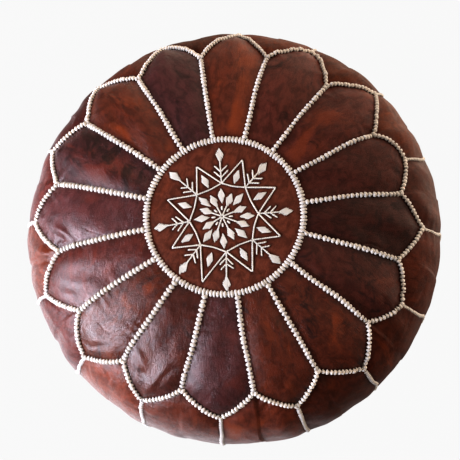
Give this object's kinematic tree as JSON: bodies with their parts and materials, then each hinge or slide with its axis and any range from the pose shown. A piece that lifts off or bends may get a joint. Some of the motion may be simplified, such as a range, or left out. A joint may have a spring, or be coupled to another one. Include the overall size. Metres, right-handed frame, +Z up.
{
  "type": "leather pouf",
  "caption": "Round stuffed floor cushion of pieced leather: an embroidered medallion, pointed petals and side panels joined by whip stitching, with a zip across the base.",
  "frame": {"origin": "on the floor under the middle of the pouf", "axes": "+Z up; the zip across the base runs along X with its slider near the +X end; seams between petals lie every 22.5 degrees starting at +X"},
  "size_m": [0.52, 0.52, 0.2805],
  "materials": {
    "leather_amber": "satin",
    "leather_rust": "satin",
    "leather_chestnut": "satin",
    "leather_umber": "satin",
    "leather_plum": "satin",
    "leather_sloe": "satin",
    "thread": "matte",
    "zip_tape": "matte",
    "zip_coil": "satin",
    "zip_metal": "satin",
    "liner_cotton": "matte",
    "stuffing_cotton": "matte"
  },
  "bodies": {
    "pouf": {"medallion": "leather_rust", "petal_01": "leather_sloe", "petal_02": "leather_umber", "petal_03": "leather_umber", "petal_04": "leather_amber", "petal_05": "leather_umber", "petal_06": "leather_rust", "petal_07": "leather_plum", "petal_08": "leather_plum", "petal_09": "leather_chestnut", "petal_10": "leather_chestnut", "petal_11": "leather_plum", "petal_12": "leather_plum", "petal_13": "leather_chestnut", "petal_14": "leather_rust", "petal_15": "leather_umber", "petal_16": "leather_sloe", "side_panel_01": "leather_rust", "side_panel_02": "leather_rust", "side_panel_03": "leather_rust", "side_panel_04": "leather_rust", "side_panel_05": "leather_rust", "side_panel_06": "leather_rust", "side_panel_07": "leather_rust", "side_panel_08": "leather_rust", "side_panel_09": "leather_rust", "side_panel_10": "leather_rust", "side_panel_11": "leather_rust", "side_panel_12": "leather_rust", "side_panel_13": "leather_rust", "side_panel_14": "leather_rust", "side_panel_15": "leather_rust", "side_panel_16": "leather_rust", "base_half_back": "leather_chestnut", "base_half_front": "leather_chestnut", "medallion_braid": "thread", "radial_braid_01": "thread", "radial_braid_02": "thread", "radial_braid_03": "thread", "radial_braid_04": "thread", "radial_braid_05": "thread", "radial_braid_06": "thread", "radial_braid_07": "thread", "radial_braid_08": "thread", "radial_braid_09": "thread", "radial_braid_10": "thread", "radial_braid_11": "thread", "radial_braid_12": "thread", "radial_braid_13": "thread", "radial_braid_14": "thread", "radial_braid_15": "thread", "radial_braid_16": "thread", "scallop_and_side_braid": "thread", "base_braid": "thread", "zip_half_back": "zip_tape", "zip_half_front": "zip_tape", "liner": "liner_cotton", "stuffing": "stuffing_cotton"},
    "slider": {"zip_slider": "zip_metal"},
    "puller": {"zip_puller": "zip_metal"}
  },
  "joints": [
    {"name": "zip_slide", "type": "slide", "parent": "pouf", "child": "slider", "axis": [-1, 0, 0], "range_m": [0, 0.224]},
    {"name": "puller_swing", "type": "hinge", "parent": "slider", "child": "puller", "pos_m": [0.112, 0, 0.0078], "axis": [0, -1, 0], "range_deg": [0, 180]}
  ]
}
